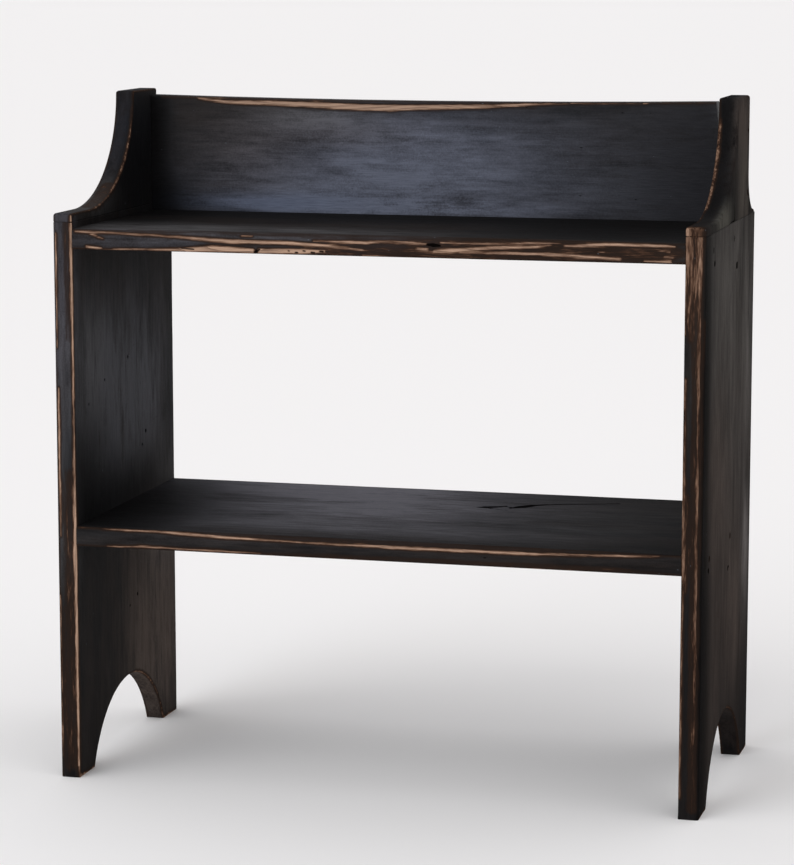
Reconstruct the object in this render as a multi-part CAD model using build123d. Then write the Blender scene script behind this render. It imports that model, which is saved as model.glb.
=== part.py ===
"""Bucket bench: a small pine stand with two shelves, arched feet and a low back between shaped wings.

Frame: origin on the floor at the middle of the bench, +X to the right, +Y to the rear, +Z up.
All lengths are in millimetres.
"""
from build123d import *
import os

# ---- overall sizes ---------------------------------------------------------------------------
bench_width = 610.0          # across the outer faces of the side boards
board_depth = 286.0          # front edge to rear edge of sides and shelves
stand_height = 521.0         # floor to the top of the upper shelf
lower_shelf_height = 242.0   # floor to the top of the lower shelf

# ---- board thicknesses -----------------------------------------------------------------------
side_thickness = 19.0        # side boards and the wings above them
shelf_thickness = 19.0
back_thickness = 19.0

# ---- side boards ------------------------------------------------------------------------------
side_rise = 6.0              # how far they rise past the upper shelf, to the joint under the wings
arch_width = 202.0           # arch between the feet, at the floor
arch_height = 68.0

# ---- wings -----------------------------------------------------------------------------------
wing_height = 119.0          # above the upper shelf
shoulder_rise = 14.0         # height of the front shoulder above the upper shelf
shoulder_length = 50.0       # level run of the shoulder before the curve starts
curve_depth = 125.0          # how far back the front curve reaches
rear_cove_radius = 38.0      # hollow that flares the rear edge out to the joint
rear_nib = 3.0               # upright end left under the hollow
rear_step = 4.0              # how far the wing stops short of the side's rear edge

# ---- backboard -------------------------------------------------------------------------------
back_height = 113.0          # above the upper shelf, at its ends
back_hollow = 3.0            # how far its top edge dips at mid length
back_end_gap = 0.2           # between each end and the wing
end_relief_width = 10.5      # the right end leans away from the wing towards its top
end_relief_height = 100.0

# ---- housings that hold the shelves ----------------------------------------------------------
housing_depth = 6.0          # how deep the shelf ends are let into the sides
housing_stop = 14.0          # wood left uncut in front of each housing
housing_end_gap = 0.2        # between a shelf's end and the floor of its housing

# ---- softened edges --------------------------------------------------------------------------
outer_arris = 3.0            # outer face of sides and wings
inner_arris = 1.5            # inner face of sides and wings
arch_arris = 1.5             # both faces round the arch
shoulder_round = 3.0         # front corner of the shoulder and upper corners of the wing
shelf_top_arris = 3.5
shelf_under_arris = 2.0
shelf_rear_arris = 1.5
back_arris = 2.5
joint_arris = 0.6            # narrow bevel that shows the joint under each wing
nib_round = 1.0

# ---- wear on the front edges of the shelves --------------------------------------------------
lower_worn_depth = 4.0       # depth of the worn hollow, square to the arris
upper_worn_depth = 3.0
worn_half_length = 250.0
worn_centre = 25.0           # its middle, along the shelf

# ---- dowels under the wings ------------------------------------------------------------------
dowel_radius = 4.0
dowel_length = 46.0
dowel_end_room = 1.0         # air past each end of a dowel
dowel_chamfer = 1.0
front_dowel_set = 79.0       # front dowel behind the start of the front curve
rear_dowel_set = 20.0        # rear dowel in front of the backboard
dowel_room = 0.05            # radial room in the holes

# ---- nails -----------------------------------------------------------------------------------
nail_head_radius = 2.9
nail_head_thickness = 1.2
nail_shank_radius = 1.4
nail_length = 46.0
nail_point = 4.0             # length of the tapered tip
nail_set = 1.0               # how far a head is driven below the face
nail_room = 0.05             # radial room round head and shank
shelf_nail_insets = (40.0, 160.0)    # behind the front edge
end_nail_heights = (28.0, 86.0)      # above the upper shelf
base_nail_places = (-190.0, 0.0, 190.0)  # along the width

# ---- places that follow from the sizes -------------------------------------------------------
outer_x = bench_width / 2
inner_x = outer_x - side_thickness
front_y = -board_depth / 2
rear_y = board_depth / 2
housing_x = inner_x + housing_depth
wing_rear_y = rear_y - rear_step - rear_cove_radius
back_front_y = wing_rear_y - back_thickness
back_mid_y = wing_rear_y - back_thickness / 2
joint_z = stand_height + side_rise
shoulder_z = stand_height + shoulder_rise
wing_top = stand_height + wing_height
curve_start_y = front_y + shoulder_length
curve_end_y = curve_start_y + curve_depth
dowel_x = (outer_x + housing_x) / 2
dowel_places = (curve_start_y + front_dowel_set, back_front_y - rear_dowel_set)


def box_between(low, high):
    """Box with the two given corners."""
    size = [b - a for a, b in zip(low, high)]
    middle = [(a + b) / 2 for a, b in zip(low, high)]
    return Pos(*middle) * Box(*size)


def long_edges(solid, axis, y=None, x=None, z=None):
    """Straight edges along an axis whose middle lies at the given coordinates."""
    wanted = {"X": x, "Y": y, "Z": z}

    def lies_there(edge):
        middle = edge.center()
        return all(value is None or abs(getattr(middle, name) - value) < 1e-3
                   for name, value in wanted.items())

    return [edge for edge in solid.edges().filter_by(axis) if lies_there(edge)]


def nail():
    """Nail with its head's top at the origin, driven along -Z."""
    shank = nail_length - nail_head_thickness - nail_point
    body = Pos(0, 0, -nail_head_thickness / 2) * Cylinder(nail_head_radius, nail_head_thickness)
    body += Pos(0, 0, -nail_head_thickness - shank / 2) * Cylinder(nail_shank_radius, shank)
    tip = Cone(nail_shank_radius, nail_shank_radius / 4, nail_point)
    body += Pos(0, 0, -nail_head_thickness - shank - nail_point / 2) * Rot(180, 0, 0) * tip
    return body


def nail_hole():
    """Hole that a nail fills, with its mouth at the origin and the nail set below it."""
    head_depth = nail_set + nail_head_thickness
    hole = Pos(0, 0, -head_depth / 2) * Cylinder(nail_head_radius + nail_room, head_depth)
    length = nail_set + nail_length + nail_room
    hole += Pos(0, 0, -length / 2) * Cylinder(nail_shank_radius + nail_room, length)
    return hole


def side_nail_spots(y, z):
    """Places on both outer faces, facing outwards, for a nail driven across the bench."""
    right = Pos(outer_x, y, z) * Rot(0, 90, 0)
    left = Pos(-outer_x, y, z) * Rot(0, -90, 0)
    return [left, right]


def shelf_nail_spots(shelf_height):
    middle = shelf_height - shelf_thickness / 2
    return [spot for inset in shelf_nail_insets
            for spot in side_nail_spots(front_y + inset, middle)]


def end_nail_spots():
    return [spot for rise in end_nail_heights
            for spot in side_nail_spots(back_mid_y, stand_height + rise)]


def base_nail_spots():
    underside = stand_height - shelf_thickness
    return [Pos(x, back_mid_y, underside) * Rot(180, 0, 0) for x in base_nail_places]


def drill(solid, spots):
    """Cut the nail holes at the given spots."""
    for spot in spots:
        solid -= spot * nail_hole()
    return solid


def nails_at(spots):
    """One nail at each spot, its head set below the face."""
    return Compound(children=[spot * Pos(0, 0, -nail_set) * nail() for spot in spots])


def dowel_holes():
    """Blind holes for the right wing's dowels, half in the wing and half in the side."""
    length = dowel_length + 2 * dowel_end_room
    return [Pos(dowel_x, y, joint_z) * Cylinder(dowel_radius + dowel_room, length)
            for y in dowel_places]


def wing_dowels():
    """Dowels of the right wing."""
    pin = Cylinder(dowel_radius, dowel_length)
    pin = chamfer(pin.edges().filter_by(GeomType.CIRCLE), dowel_chamfer)
    return Compound(children=[Pos(dowel_x, y, joint_z) * pin for y in dowel_places])


def right_side():
    """Side board: arched foot, two stopped housings and soft arrises."""
    half_arch = arch_width / 2
    arch_radius = (half_arch ** 2 + arch_height ** 2) / (2 * arch_height)
    outline = Pos(0, joint_z / 2) * Rectangle(board_depth, joint_z)
    outline -= Pos(0, arch_height - arch_radius) * Circle(arch_radius)
    board = extrude(Plane.YZ.offset(inner_x) * outline, side_thickness)

    for x, radius in ((outer_x, outer_arris), (inner_x, inner_arris)):
        board = fillet(long_edges(board, Axis.Z, x=x), radius)
        arch = [edge for edge in board.edges().filter_by(GeomType.CIRCLE)
                if abs(edge.center().X - x) < 1e-3 and edge.length > arch_width]
        board = fillet(arch, arch_arris)

    for top in (lower_shelf_height, stand_height):
        board -= box_between((inner_x - 1, front_y + housing_stop, top - shelf_thickness),
                             (housing_x, rear_y + 1, top))
        board = drill(board, shelf_nail_spots(top))
    for hole in dowel_holes():
        board -= hole
    board = chamfer(long_edges(board, Axis.Y, x=outer_x, z=joint_z), joint_arris)
    return board


def corners(outline, places):
    """Corners of a flat outline that lie at the given places."""
    return [corner for corner in outline.vertices()
            if any(abs(corner.X - a) < 1e-3 and abs(corner.Y - b) < 1e-3 for a, b in places)]


def wing_outline():
    """Wing seen from the side, drawn as (depth, height)."""
    nib_y = wing_rear_y + rear_cove_radius
    nib_top = joint_z + rear_nib
    cove_top = nib_top + rear_cove_radius

    toe = Polyline((curve_start_y, shoulder_z), (front_y, shoulder_z), (front_y, joint_z),
                   (nib_y, joint_z), (nib_y, nib_top))
    rear_cove = CenterArc((nib_y, cove_top), rear_cove_radius, 180, 90)
    crown = Polyline((wing_rear_y, cove_top), (wing_rear_y, wing_top), (curve_end_y, wing_top))
    front_curve = EllipticalCenterArc((curve_start_y, wing_top), curve_depth,
                                      wing_top - shoulder_z, 270, arc_size=90)
    outline = make_face([toe, rear_cove, crown, front_curve])
    rounded = [(front_y, shoulder_z), (wing_rear_y, wing_top), (curve_end_y, wing_top)]
    outline = fillet(corners(outline, rounded), shoulder_round)
    return fillet(corners(outline, [(nib_y, nib_top)]), nib_round)


def right_wing():
    """Wing: long front curve, short rear hollow, soft arrises, standing on the side board."""
    board = extrude(Plane.YZ.offset(inner_x) * wing_outline(), side_thickness)
    for x, radius in ((outer_x, outer_arris), (inner_x, inner_arris)):
        rim = [edge for edge in board.edges()
               if abs(edge.center().X - x) < 1e-3 and edge.center().Z > joint_z + 1e-3]
        board = fillet(rim, radius)
    board = drill(board, end_nail_spots())
    for hole in dowel_holes():
        board -= hole
    return chamfer(long_edges(board, Axis.Y, x=outer_x, z=joint_z), joint_arris)


def shelf(top):
    """Shelf board with its front corners notched round the stopped housings."""
    end_x = housing_x - housing_end_gap
    under = top - shelf_thickness
    board = box_between((-inner_x, front_y, under), (inner_x, rear_y, top))
    board += box_between((-end_x, front_y + housing_stop, under), (end_x, rear_y, top))
    board = fillet(long_edges(board, Axis.X, y=front_y, z=top), shelf_top_arris)
    board = fillet(long_edges(board, Axis.X, y=front_y, z=under), shelf_under_arris)
    rear = long_edges(board, Axis.X, y=rear_y, z=top) + long_edges(board, Axis.X, y=rear_y, z=under)
    board = fillet(rear, shelf_rear_arris)
    return drill(board, shelf_nail_spots(top))


def worn_hollow(top, depth):
    """Long shallow hollow along a shelf's upper front arris."""
    reach = (worn_half_length ** 2 + depth ** 2) / (2 * depth)
    lift = (reach - depth) / 2 ** 0.5
    centre = Pos(worn_centre, front_y - lift, top + lift)
    return centre * Rot(-45, 0, 0) * Cylinder(reach, 4 * shelf_thickness)


def upper_shelf():
    board = shelf(stand_height) - worn_hollow(stand_height, upper_worn_depth)
    return drill(board, base_nail_spots())


def lower_shelf():
    return shelf(lower_shelf_height) - worn_hollow(lower_shelf_height, lower_worn_depth)


def backboard():
    """Low board between the wings, with a hollow top edge and a relieved right end."""
    half = inner_x - back_end_gap
    end_top = stand_height + back_height
    foot = Polyline((-half, end_top), (-half, stand_height), (half, stand_height),
                    (half, end_top - end_relief_height), (half - end_relief_width, end_top))
    crest = ThreePointArc((half - end_relief_width, end_top), (0, end_top - back_hollow),
                          (-half, end_top))
    board = extrude(Plane.XZ.offset(-wing_rear_y) * make_face([foot, crest]), back_thickness)
    crest_edges = [edge for edge in board.edges().filter_by(GeomType.CIRCLE)
                   if edge.length > inner_x]
    board = fillet(crest_edges, back_arris)
    return drill(board, end_nail_spots() + base_nail_spots())


def mirrored(shape):
    """The same piece at the left end."""
    return mirror(shape, about=Plane.YZ)


def all_parts():
    side = right_side()
    wing = right_wing()
    dowels = wing_dowels()
    return {
        "left_side": mirrored(side),
        "right_side": side,
        "left_wing": mirrored(wing),
        "right_wing": wing,
        "upper_shelf": upper_shelf(),
        "lower_shelf": lower_shelf(),
        "backboard": backboard(),
        "left_wing_dowels": mirrored(dowels),
        "right_wing_dowels": dowels,
        "upper_shelf_nails": nails_at(shelf_nail_spots(stand_height)),
        "lower_shelf_nails": nails_at(shelf_nail_spots(lower_shelf_height)),
        "backboard_end_nails": nails_at(end_nail_spots()),
        "backboard_base_nails": nails_at(base_nail_spots()),
    }


os.makedirs("parts", exist_ok=True)
for name, shape in all_parts().items():
    export_step(shape, f"parts/{name}.step")
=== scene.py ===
"""Bucket bench: worn black milk paint over pine, dressed on the fixed frame of boards.

Each board keeps the frame's shape. It is cut into small faces, its arrises are rubbed down unevenly, and
its faces get the slight waves of a hand plane, dents, splits and a knot. The finish is procedural: paint
that is rubbed through to bare pine along the arrises, with a dark stained rim round each bare place. Soft
patches over the paint add dust, and also painted shade, shadows, sheen and highlights.

Lengths are in metres, in the frame: +X to the right, +Y to the rear, +Z up. Strokes, marks and patches
are written in millimetres.
"""
import math
from collections import namedtuple

import bmesh
import bpy
import numpy as np
from bpy.props import FloatProperty, FloatVectorProperty, PointerProperty
from mathutils import Matrix, Vector, noise


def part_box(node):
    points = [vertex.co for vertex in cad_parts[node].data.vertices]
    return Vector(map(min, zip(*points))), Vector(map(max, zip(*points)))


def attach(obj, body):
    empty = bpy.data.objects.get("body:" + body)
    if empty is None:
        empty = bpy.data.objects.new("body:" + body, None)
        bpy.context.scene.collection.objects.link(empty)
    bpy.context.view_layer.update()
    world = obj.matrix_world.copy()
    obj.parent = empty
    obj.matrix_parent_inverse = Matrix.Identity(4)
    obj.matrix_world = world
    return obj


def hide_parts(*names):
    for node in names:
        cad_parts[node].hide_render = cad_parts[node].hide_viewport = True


bl_info = {
    "name": "Bucket Bench",
    "version": (1, 0, 0),
    "blender": (4, 5, 0),
    "location": "3D View > Sidebar > Bench",
    "description": "Dresses the bucket bench's boards in rubbed black milk paint",
    "category": "Object",
}

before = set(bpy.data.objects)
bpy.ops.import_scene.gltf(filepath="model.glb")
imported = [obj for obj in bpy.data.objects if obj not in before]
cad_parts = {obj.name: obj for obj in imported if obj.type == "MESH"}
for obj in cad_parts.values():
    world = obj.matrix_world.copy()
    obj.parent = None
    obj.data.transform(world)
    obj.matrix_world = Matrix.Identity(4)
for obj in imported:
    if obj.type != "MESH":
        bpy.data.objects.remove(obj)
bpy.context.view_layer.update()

MM = 0.001
X, Y, Z = 0, 1, 2
WELD = 1e-6                      # points closer than this are one point
FLAT_ANGLE = math.radians(0.3)   # faces this close to level with each other are joined
SHARP_ANGLE = math.radians(35)   # sharper edges keep a crease in the shading
LAYERS = 16                      # cells across a board's thickness
STROKE_CELL, MARK_CELL = 1.6 * MM, 0.9 * MM
MARGIN = 1.0 * MM                # how far round a stroke or mark its small cells go

# ---- places read from the frame
side_low, side_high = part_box("right_side")
lower_low, lower_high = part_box("lower_shelf")
back_low, back_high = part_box("backboard")
dowel_low, dowel_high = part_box("right_wing_dowels")
wing_top_z, upper_top_z = (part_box(name)[1].z for name in ("right_wing", "upper_shelf"))

inner_x, outer_x = side_low.x, side_high.x
front_y, rear_y = side_low.y, side_high.y
joint_z = side_high.z

# the same places in millimetres, for strokes, marks and patches
INNER, OUTER = inner_x / MM, outer_x / MM
FRONT, JOINT, WING_TOP = front_y / MM, joint_z / MM, wing_top_z / MM

Board = namedtuple("Board", "node piece across grain slot")
BOARDS = {board.node: board for board in (
    Board("left_side", "left_side_board", X, Z, "painted_side"),
    Board("right_side", "right_side_board", X, Z, "painted_side"),
    Board("left_wing", "left_wing_board", X, Z, "painted_wing"),
    Board("right_wing", "right_wing_board", X, Z, "painted_wing"),
    Board("upper_shelf", "upper_shelf_board", Z, X, "painted_shelf"),
    Board("lower_shelf", "lower_shelf_board", Z, X, "painted_shelf"),
    Board("backboard", "backboard_plank", Y, X, "painted_back"),
)}


# ---- cutting a board into small faces
def cut_across(mesh, axis, place):
    """Cut every face of the mesh where the axis has this value, and mark the cut."""
    normal = [float(other == axis) for other in (X, Y, Z)]
    point = [place * share for share in normal]
    whole = mesh.verts[:] + mesh.edges[:] + mesh.faces[:]
    result = bmesh.ops.bisect_plane(mesh, geom=whole, dist=WELD, plane_co=point, plane_no=normal)
    for part in result["geom_cut"]:
        if isinstance(part, bmesh.types.BMEdge):
            part.seam = True


def ruled_board(board, cell, layers):
    """Copy of the frame's board, ruled into cells over its faces and layers across its thickness."""
    mesh = bmesh.new()
    mesh.from_mesh(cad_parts[board.node].data)
    bmesh.ops.remove_doubles(mesh, verts=mesh.verts, dist=WELD)
    low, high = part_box(board.node)
    for axis in (X, Y, Z):
        length = high[axis] - low[axis]
        count = layers if axis == board.across else max(1, round(length / cell))
        for step in range(1, count):
            cut_across(mesh, axis, low[axis] + length * step / count)
    bmesh.ops.dissolve_limit(mesh, angle_limit=FLAT_ANGLE, verts=mesh.verts[:], edges=mesh.edges[:],
                             delimit={"SEAM"})
    return mesh


def outline_of(mesh, board, exposed):
    """Exposed edges of the board's outline at mid thickness, as rows of two flat points."""
    low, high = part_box(board.node)
    middle = (low[board.across] + high[board.across]) / 2
    plane_axes = [axis for axis in (X, Y, Z) if axis != board.across]
    rows = []
    for edge in mesh.edges:
        a, b = (vert.co for vert in edge.verts)
        on_middle = max(abs(a[board.across] - middle), abs(b[board.across] - middle)) < WELD
        if on_middle and exposed((a + b) / 2):
            rows.append([end[axis] for end in (a, b) for axis in plane_axes])
    return np.array(rows), plane_axes


def nearest_on(points, start, end):
    """Place nearest to each point on the line from start to end, and its share of the way."""
    step = end - start
    share = np.clip(((points - start) @ step) / max(step @ step, 1e-18), 0, 1)
    return start + share[:, None] * step, share


def distance_to_rows(points, rows):
    """Distance of flat points to the nearest of the given edges, and the foot on that edge."""
    best = np.full(len(points), 1e9)
    foot = np.zeros_like(points)
    for row in rows:
        place, _ = nearest_on(points, row[:2], row[2:])
        gap = np.hypot(*(points - place).T)
        closer = gap < best
        best[closer] = gap[closer]
        foot[closer] = place[closer]
    return best, foot


def stroke_cover(points, stroke):
    """How deep each point lies inside a stroke, a chain of balls (x, y, z, radius) in metres."""
    balls = np.array(stroke, float)
    cover = np.full(len(points), -1.0)
    for first, second in zip(balls, balls[1:]):
        place, share = nearest_on(points, first[:3], second[:3])
        radius = first[3] + share * (second[3] - first[3])
        cover = np.maximum(cover, radius - np.linalg.norm(points - place, axis=1))
    return cover


def deepest_cover(points, strokes):
    """How deep each point lies inside the nearest of the strokes."""
    cover = np.full(len(points), -1.0)
    for stroke in strokes:
        cover = np.maximum(cover, stroke_cover(points, stroke))
    return cover


def refine(mesh, strokes, cell):
    """Halve the edges that are longer than a cell and pass near the strokes, up to five times."""
    for _ in range(5):
        edges = mesh.edges[:]
        middles = np.array([(edge.verts[0].co + edge.verts[1].co) / 2 for edge in edges])
        halves = np.array([edge.calc_length() / 2 for edge in edges])
        near = deepest_cover(middles, strokes) > -(MARGIN + halves)
        chosen = [edge for edge, wanted in zip(edges, near & (halves * 2 > cell)) if wanted]
        if not chosen:
            return
        bmesh.ops.subdivide_edges(mesh, edges=chosen, cuts=1, use_grid_fill=True)


# ---- wear in the mesh
def waves(points, lengths, seed):
    """Smooth noise from 0 to 1 at each point, with the given wavelength along each axis."""
    scale = Vector([1 / length for length in lengths])
    shift = Vector((seed * 7.31, seed * 3.17, seed * 5.77))
    return np.array([0.5 + 0.5 * noise.noise(Vector(point) * scale + shift) for point in points])


def smooth_step(value, low, high):
    share = np.clip((value - low) / (high - low), 0, 1)
    return share * share * (3 - 2 * share)


def along_grain(board, lengthwise, crosswise):
    """Wavelengths for the three axes, long along the board's grain."""
    return [lengthwise if axis == board.grain else crosswise for axis in (X, Y, Z)]


# Soft patches tint the paint: dust and paint tone, and also painted shade, shadows, sheen and highlights.
Patch = namedtuple("Patch", "centre reach amount tint")
Stain = namedtuple("Stain", "chain limit slope")
WearAndPaintedLight = namedtuple("WearAndPaintedLight", "exposed edge_rub strokes stains marks patches seed")
Places = namedtuple("Places", "points normals edge_gap arris_gap feet high_face")


def dust_and_painted_light(points, patches):
    """How much the soft patches of dust and painted light and shade cover each point, and their tint."""
    share = np.zeros(len(points))
    tint = np.zeros((len(points), 3))
    for patch in [ALL_OVER, *patches]:
        gap = (points / MM - np.array(patch.centre, float)) / np.array(patch.reach, float)
        weight = patch.amount * np.exp(-(gap ** 2).sum(1))
        share += weight
        tint += weight[:, None] * np.array(patch.tint)
    return share, tint / np.maximum(share, 1e-6)[:, None]


def places_on(mesh, board, rows, plane_axes):
    """The mesh's points, their gaps to the outline and to the nearest arris, and their feet on it."""
    points = np.array([vert.co for vert in mesh.verts])
    normals = np.array([vert.normal for vert in mesh.verts])
    low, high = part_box(board.node)
    edge_gap, foot = distance_to_rows(points[:, plane_axes], rows)
    from_low = points[:, board.across] - low[board.across]
    from_high = high[board.across] - points[:, board.across]
    high_face = from_high < from_low
    feet = points.copy()
    feet[:, plane_axes] = foot
    feet[:, board.across] = np.where(high_face, high[board.across], low[board.across])
    arris_gap = np.hypot(edge_gap, np.minimum(from_low, from_high))
    return Places(points, normals, edge_gap, arris_gap, feet, high_face)


DEEPEST = 20 * MM         # wear layers are cut off at this depth
WHOLE_PAINT = -5 * MM     # rubbing along an arris that keeps its paint
RUB_FALL = 0.8            # how fast rubbing falls off away from the arris


def rubbing(places, wear):
    """How far each point lies inside rubbed wood, in metres. Whole paint has less than 0."""
    patchy = waves(places.feet, [60 * MM] * 3, wear.seed)
    flecked = waves(places.feet, [12 * MM] * 3, wear.seed + 1)
    reach = wear.edge_rub(places.feet, places.high_face) * MM
    uneven = 2.4 * patchy - 0.55 + 0.9 * (flecked - 0.5)
    rub = np.where(reach > 0, reach * uneven - RUB_FALL * places.arris_gap, WHOLE_PAINT)
    rub = np.maximum(rub, deepest_cover(places.points, wear.strokes))
    for stain in wear.stains:
        cover = stroke_cover(places.points, stain.chain) * stain.slope
        rub = np.maximum(rub, np.minimum(cover, stain.limit * MM))
    return np.clip(rub, -DEEPEST, DEEPEST)


def sinking(places, board, wear, settings, rub, mark):
    """How far each point is pressed in by planing, rubbing and marks, in metres."""
    flat = smooth_step(np.abs(places.normals[:, board.across]), 0.8, 1.0)
    planing = waves(places.points, along_grain(board, 160 * MM, 35 * MM), wear.seed + 2)
    uneven = 0.35 + 0.65 * waves(places.points, along_grain(board, 20 * MM, 6 * MM), wear.seed + 3)
    near_edge = smooth_step(places.edge_gap, 30 * MM, 0.0)
    rubbed = smooth_step(rub, -1.2 * MM, 2.0 * MM) * near_edge
    sunk = settings.plane_waves * planing * flat
    sunk += settings.rub_depth * rubbed * uneven * (1 - 0.55 * flat)
    sunk += settings.mark_depth * smooth_step(mark, -0.6 * MM, 1.2 * MM)
    return sunk


def shaped_board(board, wear, settings, material):
    """Put the board in place of the frame's node, with its wear in the mesh and its dust and painted light
    in layers.
    """
    coarse = 1
    mesh = ruled_board(board, settings.cell * coarse, LAYERS // coarse)
    rows, plane_axes = outline_of(mesh, board, wear.exposed)
    refine(mesh, wear.strokes + [stain.chain for stain in wear.stains], STROKE_CELL * coarse)
    refine(mesh, wear.marks, MARK_CELL * coarse)
    bmesh.ops.triangulate(mesh, faces=[face for face in mesh.faces if len(face.verts) > 4])
    mesh.normal_update()

    places = places_on(mesh, board, rows, plane_axes)
    rub = rubbing(places, wear)
    mark = np.clip(deepest_cover(places.points, wear.marks), -DEEPEST, DEEPEST)
    sunk = sinking(places, board, wear, settings, rub, mark)
    for vert, place in zip(mesh.verts, places.points - places.normals * sunk[:, None]):
        vert.co = place
    # soft patches: dust and paint tone, and also painted shade, shadows, sheen and highlights
    dust_and_light_share, tint = dust_and_painted_light(places.points, wear.patches)
    finish_piece(board, mesh, {"rub": rub / MM, "mark": mark / MM, "dust_and_light_share": dust_and_light_share, "tint": tint}, material)


def new_object(name, data):
    """Object that carries the data, linked into the scene."""
    thing = bpy.data.objects.new(name, data)
    bpy.context.scene.collection.objects.link(thing)
    return thing


def finish_piece(board, mesh, layers, material):
    """Make an object of the mesh, with its layers of wear, dust and painted light, that rides on the frame
    in the node's place.
    """
    for edge in mesh.edges:
        edge.seam = False
        edge.smooth = edge.is_manifold and edge.calc_face_angle(0) < SHARP_ANGLE
    for face in mesh.faces:
        face.smooth = True
    data = bpy.data.meshes.new(board.piece)
    mesh.to_mesh(data)
    mesh.free()
    for name, values in layers.items():
        kind, slot = ("FLOAT", "value") if values.ndim == 1 else ("FLOAT_VECTOR", "vector")
        layer = data.attributes.new(name, kind, "POINT")
        layer.data.foreach_set(slot, values.astype(np.float32).ravel())
    data.materials.append(material)
    piece = new_object(board.piece, data)
    weights = piece.modifiers.new("even shading", "WEIGHTED_NORMAL")
    weights.mode = "FACE_AREA"
    weights.keep_sharp = True
    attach(piece, "root")
    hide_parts(board.node)


# ---- shader helpers
def add(tree, kind, inputs=None, **settings):
    """Node of a kind with its settings; inputs are other nodes' outputs, values or plain colours."""
    node = tree.nodes.new(kind)
    for name, value in settings.items():
        setattr(node, name, value)
    for key, value in (inputs or {}).items():
        if isinstance(value, bpy.types.NodeSocket):
            tree.links.new(value, node.inputs[key])
        elif node.inputs[key].type == "RGBA":
            node.inputs[key].default_value = (*value, 1.0)
        else:
            node.inputs[key].default_value = value
    return node


def maths(tree, operation, *values):
    return add(tree, "ShaderNodeMath", dict(enumerate(values)), operation=operation).outputs[0]


def times(tree, first, second):
    return maths(tree, "MULTIPLY", first, second)


def weighted(tree, *pairs, start=0.0):
    """Sum of the start and of each value times its weight."""
    total = start
    for value, weight in pairs:
        total = maths(tree, "MULTIPLY_ADD", value, weight, total)
    return total


def ease(tree, value, low, high, out_low=0.0, out_high=1.0):
    """Smooth ramp of a value from low to high."""
    values = {0: value, 1: low, 2: high, 3: out_low, 4: out_high}
    return add(tree, "ShaderNodeMapRange", values, interpolation_type="SMOOTHSTEP").outputs[0]


def coated(tree, colour, *coats):
    """Colour under coats, each given by the share that it covers and its colour."""
    for share, coat in coats:
        colour = add(tree, "ShaderNodeMix", {0: share, 6: colour, 7: coat}, data_type="RGBA").outputs[2]
    return colour


def blend_values(tree, share, first, second):
    """Value that goes from first to second by the share."""
    return add(tree, "ShaderNodeMix", {0: share, 2: first, 3: second}).outputs[0]


def axes(tree, vector):
    """The vector's three numbers."""
    return add(tree, "ShaderNodeSeparateXYZ", {0: vector}).outputs


def stretched(tree, vector, along, across):
    """The vector times along on its first axis and across on the other two."""
    values = {0: vector, 1: (along, across, across)}
    return add(tree, "ShaderNodeVectorMath", values, operation="MULTIPLY").outputs[0]


def cloud(tree, vector, scale=1.0, detail=3.0, rough=0.55, twist=0.0):
    """Smooth noise from 0 to 1."""
    values = {"Vector": vector, "Scale": scale, "Detail": detail, "Roughness": rough, "Distortion": twist}
    return add(tree, "ShaderNodeTexNoise", values).outputs["Fac"]


def grain_cloud(tree, vector, along, across, **settings):
    """Smooth noise that is drawn out along the grain."""
    return cloud(tree, stretched(tree, vector, along, across), **settings)


def filled_group(name, numbers, fill):
    """Node group that fill makes from a vector and the named numbers, with the outputs that it returns."""
    group = bpy.data.node_groups.new(name, "ShaderNodeTree")
    group.interface.new_socket("Vector", in_out="INPUT", socket_type="NodeSocketVector")
    for label, value in numbers.items():
        socket = group.interface.new_socket(label, in_out="INPUT", socket_type="NodeSocketFloat")
        socket.default_value = value
    sockets = group.nodes.new("NodeGroupInput").outputs
    outputs = fill(group, sockets["Vector"], *(sockets[label] for label in numbers))
    for label in outputs:
        group.interface.new_socket(label, in_out="OUTPUT", socket_type="NodeSocketFloat")
    add(group, "NodeGroupOutput", outputs)
    return group


def shared_group(name, **numbers):
    """Turn a function that fills a group's tree into one that puts the group in another tree.

    The group is made on its first use. The new function takes a vector and values for the named numbers,
    and returns the group's outputs.
    """
    def turn(fill):
        def use(tree, vector, **values):
            group = bpy.data.node_groups.get(name) or filled_group(name, numbers, fill)
            return add(tree, "ShaderNodeGroup", {"Vector": vector, **values}, node_tree=group).outputs
        return use
    return turn


@shared_group("Pine grain", Rings=260.0)
def pine_grain(group, vector, rings):
    """Growth rings and fibres of a flat-sawn pine board. The first axis runs along the grain."""
    drift = grain_cloud(group, vector, 3.0, 9.0, detail=2.0)
    parts = axes(group, vector)
    bent = weighted(group, (parts[2], 0.7), (drift, 0.06), start=parts[1])
    ring = maths(group, "FRACT", times(group, bent, rings))
    late = maths(group, "POWER", ring, 3.0)
    fibre = grain_cloud(group, vector, 40.0, 1100.0, rough=0.65)
    return {"Ring": late, "Fibre": fibre, "Relief": weighted(group, (late, 0.35), start=fibre)}


@shared_group("Worn edge", Rub=0.0, Torn=1.0)
def worn_edge(group, vector, rub, torn):
    """How far a point lies inside rubbed wood, with a torn outline.

    Rub comes in mm from the board's mesh. Depth comes out in mm: below -2.6 the paint is whole, and above
    2 the wood is clean.
    """
    long_tear = grain_cloud(group, vector, 20.0, 200.0, rough=0.6)
    short_tear = grain_cloud(group, vector, 90.0, 900.0, rough=0.65)
    streak = grain_cloud(group, vector, 30.0, 1300.0, rough=0.65)
    swing = weighted(group, (long_tear, 4.4), (short_tear, 3.4), (streak, 1.8), start=-4.8)
    return {"Depth": weighted(group, (swing, torn), start=rub), "Streak": streak}


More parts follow.
